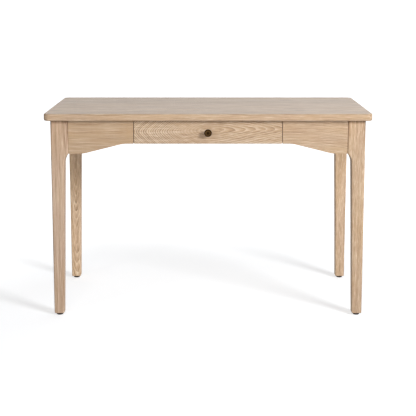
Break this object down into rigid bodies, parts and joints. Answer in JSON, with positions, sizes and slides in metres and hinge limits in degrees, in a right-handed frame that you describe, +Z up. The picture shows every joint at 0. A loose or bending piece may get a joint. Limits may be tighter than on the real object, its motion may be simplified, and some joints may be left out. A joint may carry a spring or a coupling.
{
  "type": "writing desk",
  "caption": "Oak writing desk: flat top on tapered legs with hollow shoulders, arched aprons, and a centre drawer on ball-bearing slides with a round turned knob.",
  "frame": {"origin": "on the floor, under the middle of the top", "axes": "+Z up, -Y towards the drawer's front, +X to the right as seen from the front"},
  "size_m": [1.2, 0.6, 0.765],
  "materials": {
    "limed_oak": "satin",
    "beech": "satin",
    "birch_plywood": "matte",
    "zinc_steel": "satin",
    "bearing_steel": "polished",
    "aged_bronze": "satin",
    "glide_nylon": "matte"
  },
  "bodies": {
    "frame": {"desk_top": "limed_oak", "leg_front_left": "limed_oak", "leg_front_right": "limed_oak", "leg_back_left": "limed_oak", "leg_back_right": "limed_oak", "front_apron_left": "limed_oak", "front_apron_right": "limed_oak", "side_apron_left": "limed_oak", "side_apron_right": "limed_oak", "back_apron": "limed_oak", "drawer_rail_upper": "beech", "drawer_rail_lower": "beech", "drawer_runner_left": "beech", "drawer_runner_right": "beech", "frame_dowels": "beech", "corner_blocks": "beech", "corner_bolts": "zinc_steel", "corner_washers": "zinc_steel", "corner_nuts": "zinc_steel", "corner_block_screws": "zinc_steel", "top_brackets": "zinc_steel", "top_bracket_screws": "zinc_steel", "foot_glides": "glide_nylon", "glide_nails": "zinc_steel", "slide_outer_left": "zinc_steel", "slide_outer_right": "zinc_steel", "slide_outer_screws": "zinc_steel"},
    "drawer": {"slide_inner_left": "zinc_steel", "slide_inner_right": "zinc_steel", "slide_inner_screws": "zinc_steel", "drawer_front": "limed_oak", "drawer_box_front": "beech", "drawer_side_left": "beech", "drawer_side_right": "beech", "drawer_box_back": "beech", "drawer_bottom": "birch_plywood", "drawer_front_screws": "zinc_steel", "drawer_bottom_screws": "zinc_steel", "drawer_knob": "aged_bronze", "knob_bolt": "zinc_steel"},
    "middle_member_left": {"slide_middle_left": "zinc_steel"},
    "outer_cage_left": {"outer_ball_cage_left": "zinc_steel", "outer_balls_left": "bearing_steel"},
    "inner_cage_left": {"inner_ball_cage_left": "zinc_steel", "inner_balls_left": "bearing_steel"},
    "middle_member_right": {"slide_middle_right": "zinc_steel"},
    "outer_cage_right": {"outer_ball_cage_right": "zinc_steel", "outer_balls_right": "bearing_steel"},
    "inner_cage_right": {"inner_ball_cage_right": "zinc_steel", "inner_balls_right": "bearing_steel"}
  },
  "joints": [
    {"name": "drawer_slide", "type": "slide", "parent": "frame", "child": "drawer", "axis": [0, -1, 0], "range_m": [0, 0.34]},
    {"name": "middle_member_slide_left", "type": "slide", "parent": "frame", "child": "middle_member_left", "axis": [0, -1, 0], "range_m": [0, 0.17]},
    {"name": "outer_cage_roll_left", "type": "slide", "parent": "frame", "child": "outer_cage_left", "axis": [0, -1, 0], "range_m": [0, 0.085]},
    {"name": "inner_cage_roll_left", "type": "slide", "parent": "frame", "child": "inner_cage_left", "axis": [0, -1, 0], "range_m": [0, 0.255]},
    {"name": "middle_member_slide_right", "type": "slide", "parent": "frame", "child": "middle_member_right", "axis": [0, -1, 0], "range_m": [0, 0.17]},
    {"name": "outer_cage_roll_right", "type": "slide", "parent": "frame", "child": "outer_cage_right", "axis": [0, -1, 0], "range_m": [0, 0.085]},
    {"name": "inner_cage_roll_right", "type": "slide", "parent": "frame", "child": "inner_cage_right", "axis": [0, -1, 0], "range_m": [0, 0.255]}
  ],
  "couplings": [
    {"joint": "middle_member_slide_left", "follows": "drawer_slide", "ratio": 0.5},
    {"joint": "outer_cage_roll_left", "follows": "drawer_slide", "ratio": 0.25},
    {"joint": "inner_cage_roll_left", "follows": "drawer_slide", "ratio": 0.75},
    {"joint": "middle_member_slide_right", "follows": "drawer_slide", "ratio": 0.5},
    {"joint": "outer_cage_roll_right", "follows": "drawer_slide", "ratio": 0.25},
    {"joint": "inner_cage_roll_right", "follows": "drawer_slide", "ratio": 0.75}
  ]
}
